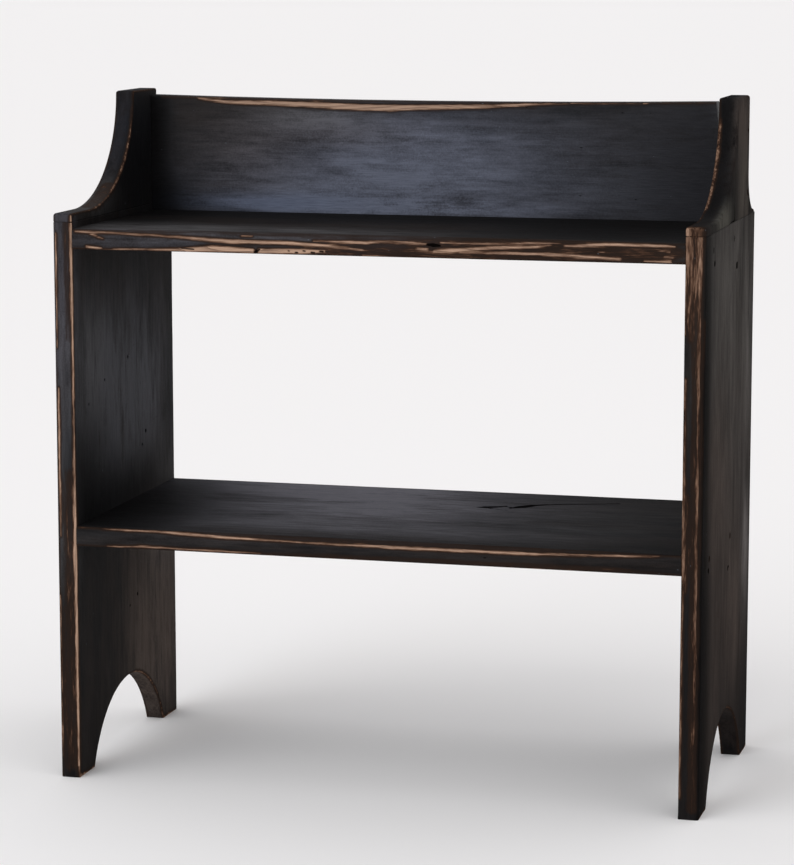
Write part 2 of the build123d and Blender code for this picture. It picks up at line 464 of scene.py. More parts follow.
@shared_group("Brushed milk paint")
def brushed_paint(group, vector):
    """Mottling, brush streaks and grit of thin milk paint."""
    broad = grain_cloud(group, vector, 6.0, 22.0, detail=4.0, rough=0.6, twist=0.6)
    blotch = grain_cloud(group, vector, 24.0, 120.0, detail=4.0, rough=0.65, twist=0.5)
    streak = grain_cloud(group, vector, 16.0, 260.0, detail=4.0, rough=0.7, twist=0.3)
    hair = grain_cloud(group, vector, 60.0, 900.0, rough=0.6)
    grit = cloud(group, vector, scale=650.0, rough=0.7)
    warm = grain_cloud(group, vector, 6.0, 30.0, detail=4.0, rough=0.7)
    tone = weighted(group, (broad, 1.6), (streak, 0.8), (blotch, 1.1), (hair, 0.6), (grit, 0.8),
                    start=-1.95)
    tone.node.use_clamp = True
    return {
        "Tone": tone,
        "Warm": ease(group, weighted(group, (streak, 0.5), start=warm), 0.55, 0.9),
        "Hair": ease(group, hair, 0.25, 0.75),
        "Relief": weighted(group, (streak, 0.7), (grit, 0.6), start=hair),
    }


@shared_group("Nicks and scuffs")
def knocks(group, vector):
    """Small dark nicks along the grain and pale scuffs."""
    outputs = {}
    for label, along, across, rarity in (("Nick", 75.0, 190.0, 0.955), ("Scuff", 120.0, 300.0, 0.965)):
        cells = {"Vector": stretched(group, vector, along, across), "Scale": 1.0}
        spots = add(group, "ShaderNodeTexVoronoi", cells).outputs
        chosen = maths(group, "GREATER_THAN", axes(group, spots["Color"])[0], rarity)
        wobble = grain_cloud(group, vector, along * 3, across * 3, detail=2.0)
        gap = weighted(group, (wobble, 0.2), start=spots["Distance"])
        outputs[label] = times(group, ease(group, gap, 0.22, 0.148), chosen)
    return outputs


def coordinates(tree):
    """Place of a point on the object, in metres."""
    return add(tree, "ShaderNodeTexCoord").outputs["Object"]


def grain_vector(tree, grain, shift):
    """Object coordinates with the grain on the first axis, moved by a shift of each board's own."""
    parts = axes(tree, coordinates(tree))
    order = {X: (0, 1, 2), Z: (2, 1, 0)}[grain]
    turned = add(tree, "ShaderNodeCombineXYZ", {n: parts[axis] for n, axis in enumerate(order)})
    moved = {0: turned.outputs[0], 1: shift}
    return add(tree, "ShaderNodeVectorMath", moved, operation="ADD").outputs[0]


def wear_and_light_layer(tree, name, output="Fac"):
    """One of the board's mesh layers: rubbing, marks, and the cover and tint of the patches of dust and
    painted light.
    """
    return add(tree, "ShaderNodeAttribute", attribute_name=name).outputs[output]


def empty_material(name):
    """New material, and its empty node tree."""
    material = bpy.data.materials.new(name)
    material.use_nodes = True
    material.node_tree.nodes.clear()
    return material, material.node_tree


def surface(tree, inputs):
    """End the material's tree in a surface with these inputs."""
    shader = add(tree, "ShaderNodeBsdfPrincipled", inputs)
    add(tree, "ShaderNodeOutputMaterial", {"Surface": shader.outputs[0]})


def relief(tree, height, depth):
    """Normal of a bumpy surface, from its height and the real depth of one unit of height."""
    return add(tree, "ShaderNodeBump", {"Height": height, "Distance": depth}).outputs[0]


# ---- materials
Finish = namedtuple("Finish", "shift roughness torn sheen mottle")


def wood_ramp(tree, depth, paint):
    """Colour of rubbed wood by depth in mm: stained at the rim, cleaner further in."""
    ramp = add(tree, "ShaderNodeValToRGB", {0: ease(tree, depth, -1.6, 2.0)})
    stops = [(0.0, paint.stain_colour), (0.34, paint.rim_colour), (0.58, paint.worn_colour),
             (0.88, paint.bare_colour)]
    elements = ramp.color_ramp.elements
    while len(elements) < len(stops):
        elements.new(0.5)
    for element, (position, colour) in zip(elements, stops):
        element.position = position
        element.color = (*colour, 1.0)
    return ramp.outputs[0]


def paint_coat(tree, brushed, mottle, paint):
    """Colour of the whole paint: black, browner in places, with dust and painted light and shade in its
    soft patches.
    """
    uneven = weighted(tree, (brushed["Tone"], mottle), start=0.78 - 0.5 * mottle)
    return coated(tree, paint.paint_colour,
                  (times(tree, brushed["Warm"], 0.7), paint.warm_colour),
                  (times(tree, wear_and_light_layer(tree, "dust_and_light_share"), uneven), wear_and_light_layer(tree, "tint", "Vector")),
                  (times(tree, brushed["Hair"], 0.3), (0.0, 0.0, 0.0)))


def bare_wood(tree, worn, pine, paint):
    """Colour of the wood where the paint is rubbed through, with its dark grain."""
    late = weighted(tree, (ease(tree, pine["Fibre"], 0.38, 0.70), 0.6), start=pine["Ring"])
    return coated(tree, wood_ramp(tree, worn["Depth"], paint), (times(tree, late, 0.5), paint.knot_colour))


def painted_pine(name, grain, finish, paint):
    """Black milk paint over pine, rubbed through by the board's own wear layers and tinted by its dust and
    painted light.
    """
    material, tree = empty_material(name)
    vector = grain_vector(tree, grain, finish.shift)
    pine = pine_grain(tree, vector)
    worn = worn_edge(tree, vector, Rub=wear_and_light_layer(tree, "rub"), Torn=finish.torn)
    brushed = brushed_paint(tree, vector)
    knocked = knocks(tree, vector)

    bare = ease(tree, worn["Depth"], -0.7, 0.1)
    rim = ease(tree, worn["Depth"], -2.6, -0.7)
    marked = ease(tree, maths(tree, "ADD", worn["Streak"], wear_and_light_layer(tree, "mark")), 0.2, 0.75)
    dark = maths(tree, "MAXIMUM", marked, times(tree, knocked["Nick"], 0.8))
    colour = coated(tree, paint_coat(tree, brushed, finish.mottle, paint),
                    (times(tree, rim, 0.8), paint.stain_colour),
                    (bare, bare_wood(tree, worn, pine, paint)),
                    (times(tree, knocked["Scuff"], 0.45), paint.scuff_colour),
                    (times(tree, dark, 0.93), paint.pit_colour))
    painted_gloss = weighted(tree, (brushed["Tone"], 0.2), start=finish.roughness - 0.1)
    gloss = blend_values(tree, bare, painted_gloss, 0.75)
    gloss = blend_values(tree, dark, gloss, 0.9)
    skin = weighted(tree, (brushed["Relief"], 0.4), (pine["Relief"], 0.3), (bare, -0.5), (dark, -1.2))
    surface(tree, {"Base Color": colour, "Roughness": gloss, "Normal": relief(tree, skin, 0.4 * MM),
                   "Specular IOR Level": finish.sheen})
    return material


def iron(paint):
    """Dark old iron with rust in patches."""
    material, tree = empty_material("old iron")
    place = coordinates(tree)
    patch = cloud(tree, place, scale=420.0, detail=4.0, rough=0.65)
    pits = cloud(tree, place, scale=1900.0, detail=2.0)
    rust = ease(tree, patch, 0.45, 0.62)
    surface(tree, {
        "Base Color": coated(tree, paint.iron_colour, (rust, paint.rust_colour)),
        "Roughness": ease(tree, patch, 0.3, 0.7, 0.5, 0.85),
        "Metallic": ease(tree, patch, 0.6, 0.42, 0.0, 0.1),
        "Normal": relief(tree, maths(tree, "ADD", patch, pits), 0.2 * MM),
        "Specular IOR Level": 0.1,
    })
    return material


def dowel_wood(paint):
    """Bare turned pine of the hidden dowels."""
    material, tree = empty_material("bare dowel pine")
    pine = pine_grain(tree, grain_vector(tree, Z, (0.0, 0.0, 0.0)), Rings=900.0)
    late = weighted(tree, (pine["Ring"], 0.6), (pine["Fibre"], 0.5))
    surface(tree, {
        "Base Color": coated(tree, paint.bare_colour, (late, paint.knot_colour)),
        "Roughness": ease(tree, pine["Fibre"], 0.3, 0.7, 0.6, 0.75),
        "Normal": relief(tree, pine["Relief"], 0.2 * MM),
    })
    return material


# ---- strokes and marks, written in millimetres
def chain(*balls):
    """Chain of balls (x, y, z, radius), in metres."""
    return [tuple(value * MM for value in ball) for ball in balls]


def face_strokes(y, top, rows):
    """Strokes on a front face from rows of (x, drop below its top, radius)."""
    return [chain(*((x, y, top - drop, radius) for x, drop, radius in row)) for row in rows]


def front_line(z, *balls):
    """Stroke along a shelf's front at one height, from (x, radius) balls."""
    return chain(*((x, FRONT, z, radius) for x, radius in balls))


def arris_stroke(x, *balls):
    """Stroke down a side board's front, from (height, radius) balls."""
    return chain(*((x, FRONT, height, radius) for height, radius in balls))


def dents(x, *places):
    """Dents in a side board's face, from (y, height, radius, length) each."""
    return [chain((x, y, z, radius), (x, y + length, z, radius)) for y, z, radius, length in places]


def wing_arc(x, first, last, radius_of, steps=14):
    """Stroke along the wing's front curve, from one height to another, at one x."""
    shoulder_length, shoulder_height, curve_depth = 50, 8, 125
    curve_height = WING_TOP - JOINT - shoulder_height
    balls = []
    for step in range(steps + 1):
        share = step / steps
        z = first + (last - first) * share
        back = curve_depth * math.sqrt(max(0.0, 1 - ((WING_TOP - z) / curve_height) ** 2))
        balls.append((x, FRONT + shoulder_length + back, z, radius_of(share)))
    return chain(*balls)


UPPER_FRONT = [
    [(-283, 2, 0.8), (-268, 2.7, 1.1), (-245, 2.9, 0.8), (-186, 5, 1.2), (-159, 6.5, 1.6),
     (-131, 8, 1.8), (-80, 8.3, 1.8), (-52, 9.3, 1.4), (-23, 11.5, 0.9), (-8, 13, 0.7)],
    [(-268, 4, 0.8), (-260, 7, 0.8), (-256, 8.3, 0.4)],
    [(-272, 16, 1.1), (-262, 17.2, 1.2), (-258, 17.5, 0.7)],
    [(-246, 18, 0.4), (-192, 17.3, 1.2), (-174, 17, 2.2), (-149, 15.3, 2.8), (-112, 16.5, 2.4)],
    [(-105, 16.3, 2.4), (-62, 15.4, 2.2), (-44, 15, 1.2)],
    [(-8, 17.7, 0.8), (40, 18.6, 0.6), (75, 19, 0.6)],
    [(-64, 1.6, 0.4), (-33, 1.8, 0.7)],
    [(-54, 5.5, 0.8), (-23, 6, 1.2), (-4, 6.5, 1.4), (9, 4.8, 0.8), (39, 5.6, 1.3), (52, 6, 0.7)],
    [(-122, 3, 0.6), (-112, 3, 0.6)],
    [(43, 10.3, 0.8), (52, 11, 1.3)],
    [(59, 12.4, 1.3), (75, 11.5, 1.9), (96, 9.7, 1.1), (117, 7.8, 1.2), (151, 6.2, 1.2), (165, 4.7, 0.6)],
    [(65, 4.5, 0.8), (92, 4.8, 0.8), (126, 4.2, 0.7), (147, 3, 1.1), (174, 2, 0.6)],
    [(178, 5, 0.8), (201, 3.6, 1.3), (221, 2.6, 1.5), (248, 2.2, 1.7), (267, 2.6, 1.3), (277, 3.2, 0.7)],
    [(82, 12.6, 0.8), (117, 12.6, 1), (155, 12.6, 1.2), (201, 14.2, 1.5), (228, 15.4, 1.3)],
    [(250, 16.5, 0.8), (273, 16.6, 1)],
    [(262, 6.8, 0.3), (272, 7.8, 0.7)],
    [(268, 12.4, 0.6), (276, 12.8, 0.5)],
    [(208, 9.2, 0.3), (213, 9.4, 0.7)],
]

UPPER_BURNS = [
    [(-110, 17.5, 0.8), (-107, 16, 1.1), (-105, 14.8, 0.6)],
    [(52, 6.6, 0.8), (58, 7, 1.7), (64, 7.4, 0.8)],
    [(-78, 15.4, 0.5), (-77, 15.6, 0.5)],
    [(-71, 16.8, 0.6), (-69, 16.9, 0.6)],
    [(-64, 15.2, 0.5), (-62, 15.3, 0.6)],
    [(-56, 16.4, 0.7), (-53, 16.6, 0.6)],
    [(-48, 15.2, 0.6), (-45, 15.4, 0.7)],
    [(-180, 15.6, 0.4), (-168, 16.2, 0.5)],
]

LOWER_FRONT = [
    [(-260, 0.6, 0.7), (-232, 1.2, 1.2), (-205, 0.8, 1.2), (-182, 2.5, 1.1), (-140, 3.6, 1.5),
     (-89, 4, 1.3), (-50, 4.5, 1.3), (8, 4.8, 1.6), (85, 5.1, 1.6), (165, 4.6, 1.1), (235, 2.8, 1),
     (266, 1, 0.8)],
    [(-205, 0.2, 0.9), (-158, 0.3, 0.8)],
    [(-136, 0.4, 0.7), (-106, 0.8, 0.8)],
    [(-256, 17.8, 0.5), (-229, 16.8, 0.6), (-222, 16, 1.1), (-182, 16.6, 0.8), (-149, 16.6, 0.8),
     (-106, 17, 0.4)],
]

BACK_FRONT = [
    [(-236, 2.8, 0.8), (-212, 5.5, 1.4), (-187, 6.4, 2), (-161, 6.4, 1.8), (-136, 7.3, 2.5),
     (-103, 8.6, 2.9), (-69, 9.6, 3.2), (-44, 10, 3.4), (-19, 9, 2.8), (28, 7.5, 2.2),
     (57, 7, 1.9), (86, 5.1, 1.5), (107, 3.6, 1.4), (153, 2.2, 1.3), (210, 2, 0.7)],
    [(-238, 1.5, 0.5), (-205, 2.2, 0.9), (-196, 2.4, 0.5)],
]

# the knot on the lower shelf and its splits, as balls of (x, y, radius) in its top face
KNOT = [
    [(53, 53, 1), (62, 57, 6), (72, 62, 4), (78, 68, 1.5)],
    [(66, 51, 1.3), (84, 45, 1)],
    [(76, 66, 1.6), (88, 60, 1.6)],
    [(85, 57, 1.8), (94, 66, 6), (103, 77, 4.5), (114, 84, 2.2), (135, 92, 1.8), (182, 108, 1.2)],
]


# ---- which arrises are rubbed
CLEAR = 2 * MM      # an outline this near to a dowel keeps its paint


def on_front_or_rear(point):
    return min(point.y - front_y, rear_y - point.y) < 1 * MM


def side_exposed(point):
    """The side board's outline, without its joint with the wing."""
    return on_front_or_rear(point) or point.z < dowel_low.z - CLEAR


def wing_exposed(point):
    """The wing's outline, without its joint with the side board and the holes of the dowels."""
    beside_dowels = dowel_low.y - CLEAR < point.y < dowel_high.y + CLEAR
    return point.z > (dowel_high.z + CLEAR if beside_dowels else joint_z + 1 * MM)


def shelf_exposed(point):
    return abs(point.x) < inner_x and on_front_or_rear(point)


def back_exposed(point):
    """The backboard's top edge, without the ends that lie against the wings."""
    return point.z > back_high.z - 5 * MM and abs(point.x) < inner_x - 12 * MM


def steady(reach):
    """The same reach of rubbing on every arris, in mm."""
    return lambda feet, high_face: np.full(len(feet), reach)


def front_less(front_reach, other_reach):
    """Another reach on the front arrises, whose own strokes are drawn."""
    return lambda feet, high_face: np.where(feet[:, Y] < front_y + 3 * MM, front_reach, other_reach)


def wing_rub(outer_is_high, front_reach):
    """The given reach on the wing's outer arris in front, and a little elsewhere."""
    def reach(feet, high_face):
        outer_front = (high_face == outer_is_high) & (feet[:, Y] < back_low.y)
        return np.where(outer_front, front_reach, 0.4)
    return reach


# ---- wear, dust and painted light and shade on each board, in millimetres
# black mostly paints shade and shadows, and also darkens one split
# grey and brown are dust and paint tone, and slate is a bluish grey paint tone
# the blue grey paints a sheen, and the pale dust colour is dust and a painted sheen
GREY, SHEEN_BLUE, BROWN = (0.110, 0.106, 0.108), (0.108, 0.108, 0.120), (0.105, 0.078, 0.064)
BLACK, SLATE, DUST_AND_SHEEN = (0.004, 0.0036, 0.0036), (0.078, 0.073, 0.084), (0.200, 0.192, 0.215)
ALL_OVER = Patch((0, 0, 300), (3000, 3000, 3000), 0.10, GREY)


def left_side_wear_and_painted_light():
    strokes = [
        arris_stroke(-INNER - 0.9, (12, 1), (60, 1.6), (150, 2), (235, 2.3), (285, 1.2), (330, 0.8),
                     (400, 0.9), (450, 1.7), (526, 2)),
        arris_stroke(-OUTER + 3.2, (232, 0.3), (275, 0.9), (330, 1.1), (372, 0.4)),
        arris_stroke(-OUTER + 2.6, (410, 0.3), (440, 0.6), (516, 0.8)),
        arris_stroke(-OUTER + 1.8, (20, 0.6), (70, 0.4), (130, 0.7), (175, 0.3)),
    ]
    stains = [
        Stain(arris_stroke(-INNER - 4, (15, 3.5), (120, 3), (240, 3.5), (290, 2)), -0.8, 0.4),
        Stain(arris_stroke(-INNER - 3, (420, 1.5), (526, 2)), -1.1, 0.5),
        Stain(arris_stroke(-INNER - 10, (15, 4), (90, 3), (160, 1)), -1.2, 0.4),
    ]
    marks = dents(-INNER, (6.7, 383.5, 1.7, 0.1), (-59.4, 369.6, 1.3, 0.1), (56.6, 303.2, 1.9, 0.1),
                  (46, 291, 1.3, 0.1), (26.3, 144.3, 1.6, 0.1), (4, 137, 1.1, 0.1),
                  (-104, 352, 1.2, 0.1))
    patches = [
        # painted sheen in the middle of the inner face
        Patch((-INNER, 10, 355), (30, 110, 80), 1.35, SHEEN_BLUE),
        Patch((-INNER, -90, 390), (20, 40, 60), 0.5, GREY),
        Patch((-INNER, 110, 220), (20, 50, 50), 0.6, GREY),
        # painted shade on the inner face under the upper shelf
        Patch((-INNER, 40, 510), (12, 130, 30), 1.2, BLACK),
        Patch((-INNER, 75, 100), (30, 80, 110), 1.15, BROWN),
        # painted shade on the inner face above the lower shelf
        Patch((-INNER, -120, 275), (12, 60, 55), 3, BLACK),
        Patch((-INNER, 0, 255), (12, 110, 28), 2.5, BLACK),
        Patch((-INNER - 10, FRONT, 480), (30, 15, 90), 0.6, SLATE),
        Patch((-INNER - 10, FRONT, 250), (30, 15, 60), 0.35, GREY),
        Patch((-INNER - 14, FRONT, 80), (14, 8, 100), 0.5, BLACK),
        # painted highlight along the outer front arris
        Patch((-OUTER, FRONT + 2, 440), (2, 6, 90), 1.1, (0.26, 0.28, 0.33)),
    ]
    return WearAndPaintedLight(side_exposed, front_less(0.5, 0.8), strokes, stains, marks, patches, seed=11)


def right_side_wear_and_painted_light():
    strokes = [arris_stroke(INNER + 1, (440, 0.3), (470, 0.5), (526, 0.7))]
    outer = arris_stroke(OUTER - 5.4, (70, 0.1), (160, 0.4), (240, 0.7), (360, 0.8), (430, 1.3),
                         (526, 1.7))
    halo = arris_stroke(OUTER - 6.5, (10, 1.5), (200, 2.2), (400, 2.8), (450, 4))
    stains = [
        Stain(arris_stroke(INNER + 7, (436, 1), (462, 6), (527, 7.5)), -0.25, 0.5),
        Stain(outer, 0.3, 1),
        Stain(halo, -0.9, 0.6),
        Stain(arris_stroke(INNER + 1.2, (20, 0.8), (180, 1), (300, 1.4), (400, 1.2)), 0.1, 1),
        Stain(arris_stroke(INNER + 3, (210, 1), (250, 3.8), (295, 1.5)), -0.5, 0.6),
    ]
    nail_marks = dents(OUTER, (-97, 499, 2.3, 3), (33, 485, 3, 5), (-107, 222, 2.2, 3),
                       (8, 203, 2.1, 4))
    patches = [
        # dust and paint tone: greyer high up as a painted reflection of the room, browner lower down,
        # paler near the rear
        Patch((OUTER, 10, 470), (15, 170, 110), 0.7, (0.108, 0.099, 0.090)),
        Patch((OUTER, 60, 310), (15, 110, 110), 0.4, (0.100, 0.086, 0.077)),
        Patch((OUTER, -60, 290), (15, 60, 90), 0.5, BROWN),
        Patch((OUTER, 112, 200), (15, 20, 55), 0.9, (0.180, 0.165, 0.158)),
        Patch((OUTER, 115, 400), (15, 24, 90), 0.45, (0.150, 0.138, 0.130)),
        Patch((OUTER, 40, 150), (15, 60, 90), 0.55, BROWN),
        Patch((OUTER, -80, 90), (15, 50, 110), 0.4, BROWN),
        # painted shade along the outer front arris
        Patch((OUTER, FRONT, 400), (4, 26, 140), 6, BLACK),
        Patch((OUTER, FRONT, 110), (4, 45, 130), 5, BLACK),
        # painted shade: the outer face darker towards the bottom
        Patch((OUTER, 60, 60), (15, 80, 70), 0.5, BLACK),
        Patch((INNER + 8, FRONT, 110), (12, 8, 170), 1.3, BLACK),
    ]
    return WearAndPaintedLight(side_exposed, front_less(0.0, 0.8), strokes, stains, nail_marks, patches, seed=23)


def left_wing_wear_and_painted_light():
    toe = arris_stroke(-INNER - 0.9, (JOINT, 1.9), (JOINT + 6, 1.5))
    arris = wing_arc(-INNER - 0.8, JOINT + 9, WING_TOP - 14, lambda share: 0.7 - 0.7 * share)
    bend = wing_arc(-INNER - 7, JOINT + 9, JOINT + 24, lambda share: 5)
    patches = [
        Patch((-INNER - 12, -72, JOINT + 18), (30, 45, 16), 0.7, (0.120, 0.112, 0.108)),
        Patch((-INNER - 10, FRONT, JOINT + 3), (30, 12, 30), 0.6, SLATE),
        # painted shade on the inner face and the front curve
        Patch((-INNER, 0, JOINT + 43), (6, 110, 60), 2, BLACK),
        Patch((-INNER - 12, 45, JOINT + 68), (14, 60, 50), 0.9, (0.011, 0.012, 0.017)),
    ]
    stains = [Stain(arris, -0.2, 1), Stain(bend, -0.9, 0.6)]
    return WearAndPaintedLight(wing_exposed, wing_rub(False, 0.5), [toe], stains, [], patches, seed=31)


def right_wing_wear_and_painted_light():
    arris = wing_arc(INNER + 1.2, JOINT + 16, WING_TOP - 20,
                     lambda share: 1.1 + 1.3 * share - 1.3 * share ** 4)
    toe = arris_stroke(INNER + 1.2, (JOINT, 1.6), (JOINT + 7, 1.6))
    brow = arris_stroke(INNER + 7, (JOINT, 7.5), (JOINT + 6, 7.5))
    split = chain((OUTER, -10, JOINT, 0.8), (OUTER, 15, JOINT, 1.8), (OUTER, 14, JOINT + 5, 1),
                  (OUTER, 10, JOINT + 22, 0.3))
    patches = [
        Patch((OUTER, 75, JOINT + 33), (5, 40, 60), 0.85, (0.092, 0.077, 0.064)),
        Patch((OUTER, -40, JOINT + 8), (4, 50, 12), 0.8, (0.115, 0.108, 0.090)),
        Patch((OUTER, 60, JOINT + 93), (5, 60, 30), 0.45, BROWN),
        Patch((OUTER, 12, JOINT + 6), (6, 22, 16), 2, BLACK),
        # painted shade on the inner face and the front curve
        Patch((INNER + 6, 50, JOINT + 68), (10, 60, 60), 2.6, BLACK),
        Patch((INNER + 6, -30, JOINT + 21), (11, 60, 20), 2, BLACK),
    ]
    stains = [Stain(arris, 0.1, 1), Stain(toe, 0.3, 1), Stain(brow, -0.2, 0.5)]
    return WearAndPaintedLight(wing_exposed, wing_rub(True, 0.0), [], stains, [split], patches, seed=43)


def upper_shelf_wear_and_painted_light():
    top = upper_top_z / MM
    face, scorch = face_strokes(FRONT, top, [
        [(-60, 11, 1), (40, 10, 6), (180, 9, 7), (265, 9, 7), (282, 9, 1)],
        [(-44, 16, 2), (-25, 16, 4), (0, 17, 3), (40, 17, 3), (90, 17, 3)]])
    brow = chain((-230, FRONT + 5, top, 2), (0, FRONT + 6, top, 3), (220, FRONT + 5, top, 2))
    patches = [
        Patch((-200, -110, top), (130, 36, 9), 0.7, GREY),
        Patch((0, -110, top), (90, 30, 9), 0.25, GREY),
        Patch((210, -40, top), (110, 110, 9), 2.2, BLACK),
        # painted shade at the left end, beside the wing
        Patch((-262, 0, top), (40, 80, 9), 2.5, BLACK),
        # painted shadow along the foot of the backboard
        Patch((-40, 50, top), (320, 60, 9), 1.6, BLACK),
        Patch((-230, FRONT, top - 10), (80, 10, 20), 0.5, (0.066, 0.064, 0.076)),
        Patch((-100, FRONT, top - 10), (90, 10, 20), 0.4, (0.062, 0.058, 0.066)),
        Patch((20, FRONT, top - 8), (60, 10, 10), 0.4, (0.060, 0.060, 0.074)),
        Patch((180, FRONT, top - 10), (110, 10, 20), 0.3, (0.070, 0.054, 0.046)),
    ]
    return WearAndPaintedLight(shelf_exposed, front_less(0.3, 0.9), face_strokes(FRONT, top, UPPER_FRONT),
                [Stain(face, -0.6, 0.5), Stain(scorch, -0.4, 0.7), Stain(brow, -1.2, 0.6)],
                face_strokes(FRONT, top, UPPER_BURNS), patches, seed=57)


def lower_shelf_wear_and_painted_light():
    top, base = lower_high.z / MM, lower_low.z / MM
    rim = front_line(top, (-190, 0), (-90, 2), (30, 4), (150, 3), (270, 0))
    under = front_line(base, (-150, 0), (-40, 2), (230, 3), (275, 0))
    knot = [chain(*((x, y, top, radius) for x, y, radius in row)) for row in KNOT]
    patches = [
        # dust and a painted sheen over the middle of the top
        Patch((-60, 40, top), (140, 110, 9), 1.1, DUST_AND_SHEEN),
        Patch((-120, 125, top), (140, 50, 9), 0.8, DUST_AND_SHEEN),
        Patch((-20, -90, top), (170, 40, 9), 0.35, (0.170, 0.165, 0.180)),
        Patch((170, 10, top), (130, 120, 9), 0.3, GREY),
        # painted shade at the left end, beside the side board
        Patch((-262, -60, top), (62, 110, 9), 3.5, BLACK),
        Patch((-262, 90, top), (40, 80, 9), 1, BLACK),
        Patch((-230, FRONT, top - 10), (90, 10, 20), 0.25, (0.070, 0.064, 0.064)),
    ]
    return WearAndPaintedLight(shelf_exposed, front_less(0.3, 0.9), face_strokes(FRONT, top, LOWER_FRONT),
                [Stain(rim, -0.9, 0.7), Stain(under, -0.9, 0.7)], knot, patches, seed=61)


def backboard_wear_and_painted_light():
    face, top, base = back_low.y / MM, back_high.z / MM, back_low.z / MM
    rim, = face_strokes(face, top, [[(-200, 2, 3), (-40, 6, 5), (100, 3, 3)]])
    pale, brown = (0.150, 0.160, 0.205), (0.075, 0.062, 0.060)
    patches = [
        # pale patches: dust and a painted sheen, and the lowest also paints light over the shade at the
        # foot
        Patch((-10, face, base + 71), (120, 20, 28), 0.8, pale),
        Patch((-40, face, base + 27), (150, 20, 28), 0.95, pale),
        Patch((-20, face, base + 6), (110, 20, 8), 1.3, pale),
        Patch((-120, face, base + 93), (50, 20, 12), 0.7, (0.125, 0.118, 0.120)),
        # painted sheen: a bluer band near the foot
        Patch((-150, face, base + 9), (90, 20, 9), 0.6, (0.120, 0.150, 0.230)),
        Patch((-190, face, base + 59), (60, 20, 40), 0.7, brown),
        Patch((-90, face, base + 77), (60, 20, 12), 0.7, brown),
        Patch((160, face, base + 39), (90, 20, 60), 0.15, (0.100, 0.102, 0.120)),
        Patch((265, face, base + 49), (90, 20, 80), 1.5, (0.016, 0.015, 0.017)),
        # painted highlight on the top of the right end
        Patch((281, face + 10, base + 107), (8, 6, 26), 1.5, (0.240, 0.235, 0.240)),
        # painted shadow of the left wing over the left end
        Patch((-INNER, face, base + 79), (18, 30, 60), 4, BLACK),
        Patch((-INNER, face, base + 9), (30, 30, 26), 4, BLACK),
    ]
    return WearAndPaintedLight(back_exposed, steady(0.4), face_strokes(face, top, BACK_FRONT),
                [Stain(rim, -1.3, 0.6)], [], patches, seed=73)


# ---- settings
def colour_setting(name, description, default):
    return FloatVectorProperty(name=name, description=description, default=default, subtype="COLOR",
                               size=3, min=0.0, max=1.0)


def length_setting(name, description, default, least=0.0):
    return FloatProperty(name=name, description=description, default=default, min=least, unit="LENGTH")


def angle_setting(name, description, degrees):
    return FloatProperty(name=name, description=description, default=math.radians(degrees),
                         unit="ROTATION")


def number_setting(name, description, default, least=0.0):
    return FloatProperty(name=name, description=description, default=default, min=least)


class BenchPaint(bpy.types.PropertyGroup):
    """Colours of the finish."""
    paint_colour: colour_setting("Paint", "Milk paint where it is thick", (0.0050, 0.0046, 0.0048))
    warm_colour: colour_setting("Warm paint", "Milk paint where brown wood shows through",
                                (0.018, 0.0125, 0.0100))
    stain_colour: colour_setting("Stain", "Brown rim round a rubbed place", (0.021, 0.0122, 0.0086))
    rim_colour: colour_setting("Rim", "Stained wood at the edge of a rubbed place", (0.073, 0.037, 0.023))
    worn_colour: colour_setting("Worn wood", "Wood that is nearly bare", (0.20, 0.118, 0.078))
    bare_colour: colour_setting("Bare pine", "Wood where paint is gone", (0.46, 0.295, 0.205))
    knot_colour: colour_setting("Late wood", "Dark lines in bare pine", (0.036, 0.017, 0.010))
    scuff_colour: colour_setting("Scuffs", "Pale specks in the paint", (0.16, 0.18, 0.21))
    pit_colour: colour_setting("Pits", "Dents, splits and knots", (0.0015, 0.0012, 0.0010))
    iron_colour: colour_setting("Iron", "Nail heads under thin paint", (0.052, 0.047, 0.043))
    rust_colour: colour_setting("Rust", "Patches on the nail heads", (0.046, 0.036, 0.030))


class BenchBoards(bpy.types.PropertyGroup):
    """How finely the boards are cut and how deep their wear goes."""
    cell: length_setting("Cell", "Size of the small faces on a board", 6 * MM, least=2 * MM)
    plane_waves: length_setting("Plane marks", "Depth of the waves left by planing", 0.3 * MM)
    rub_depth: length_setting("Rubbed depth", "Wood lost where an arris is rubbed", 0.9 * MM)
    mark_depth: length_setting("Mark depth", "Depth of dents and splits", 1.2 * MM)


class BenchStage(bpy.types.PropertyGroup):
    """Floor, light and camera."""
    floor_colour: colour_setting("Floor", "Plain pale floor", (0.94, 0.91, 0.885))
    floor_radius: length_setting("Floor radius", "Size of the floor", 60.0, least=25.0)
    camera_place: FloatVectorProperty(name="Camera place", description="Where the camera stands",
                                      default=(0.75503, -2.91370, 0.78068), size=3,
                                      subtype="TRANSLATION", unit="LENGTH")
    camera_down: angle_setting("Down", "Angle of the camera below level", 8.6856)
    camera_left: angle_setting("Left", "Angle that the camera turns to the left", 14.774)
    lens: number_setting("Lens", "Focal length on a 36 mm sensor, in mm", 133.06, least=10.0)
    sky_low: number_setting("Low room light", "Strength of the light from the sides", 0.58)
    sky_high: number_setting("High room light", "Strength of the light from above", 0.92)
    sky_seen: number_setting("Background", "Strength of the background where the camera sees it", 0.93)
    sun: number_setting("Window light", "Strength of the soft light from the front left", 0.8)
    low_window: number_setting("Low window", "Power of the blue light near the front", 22.0)


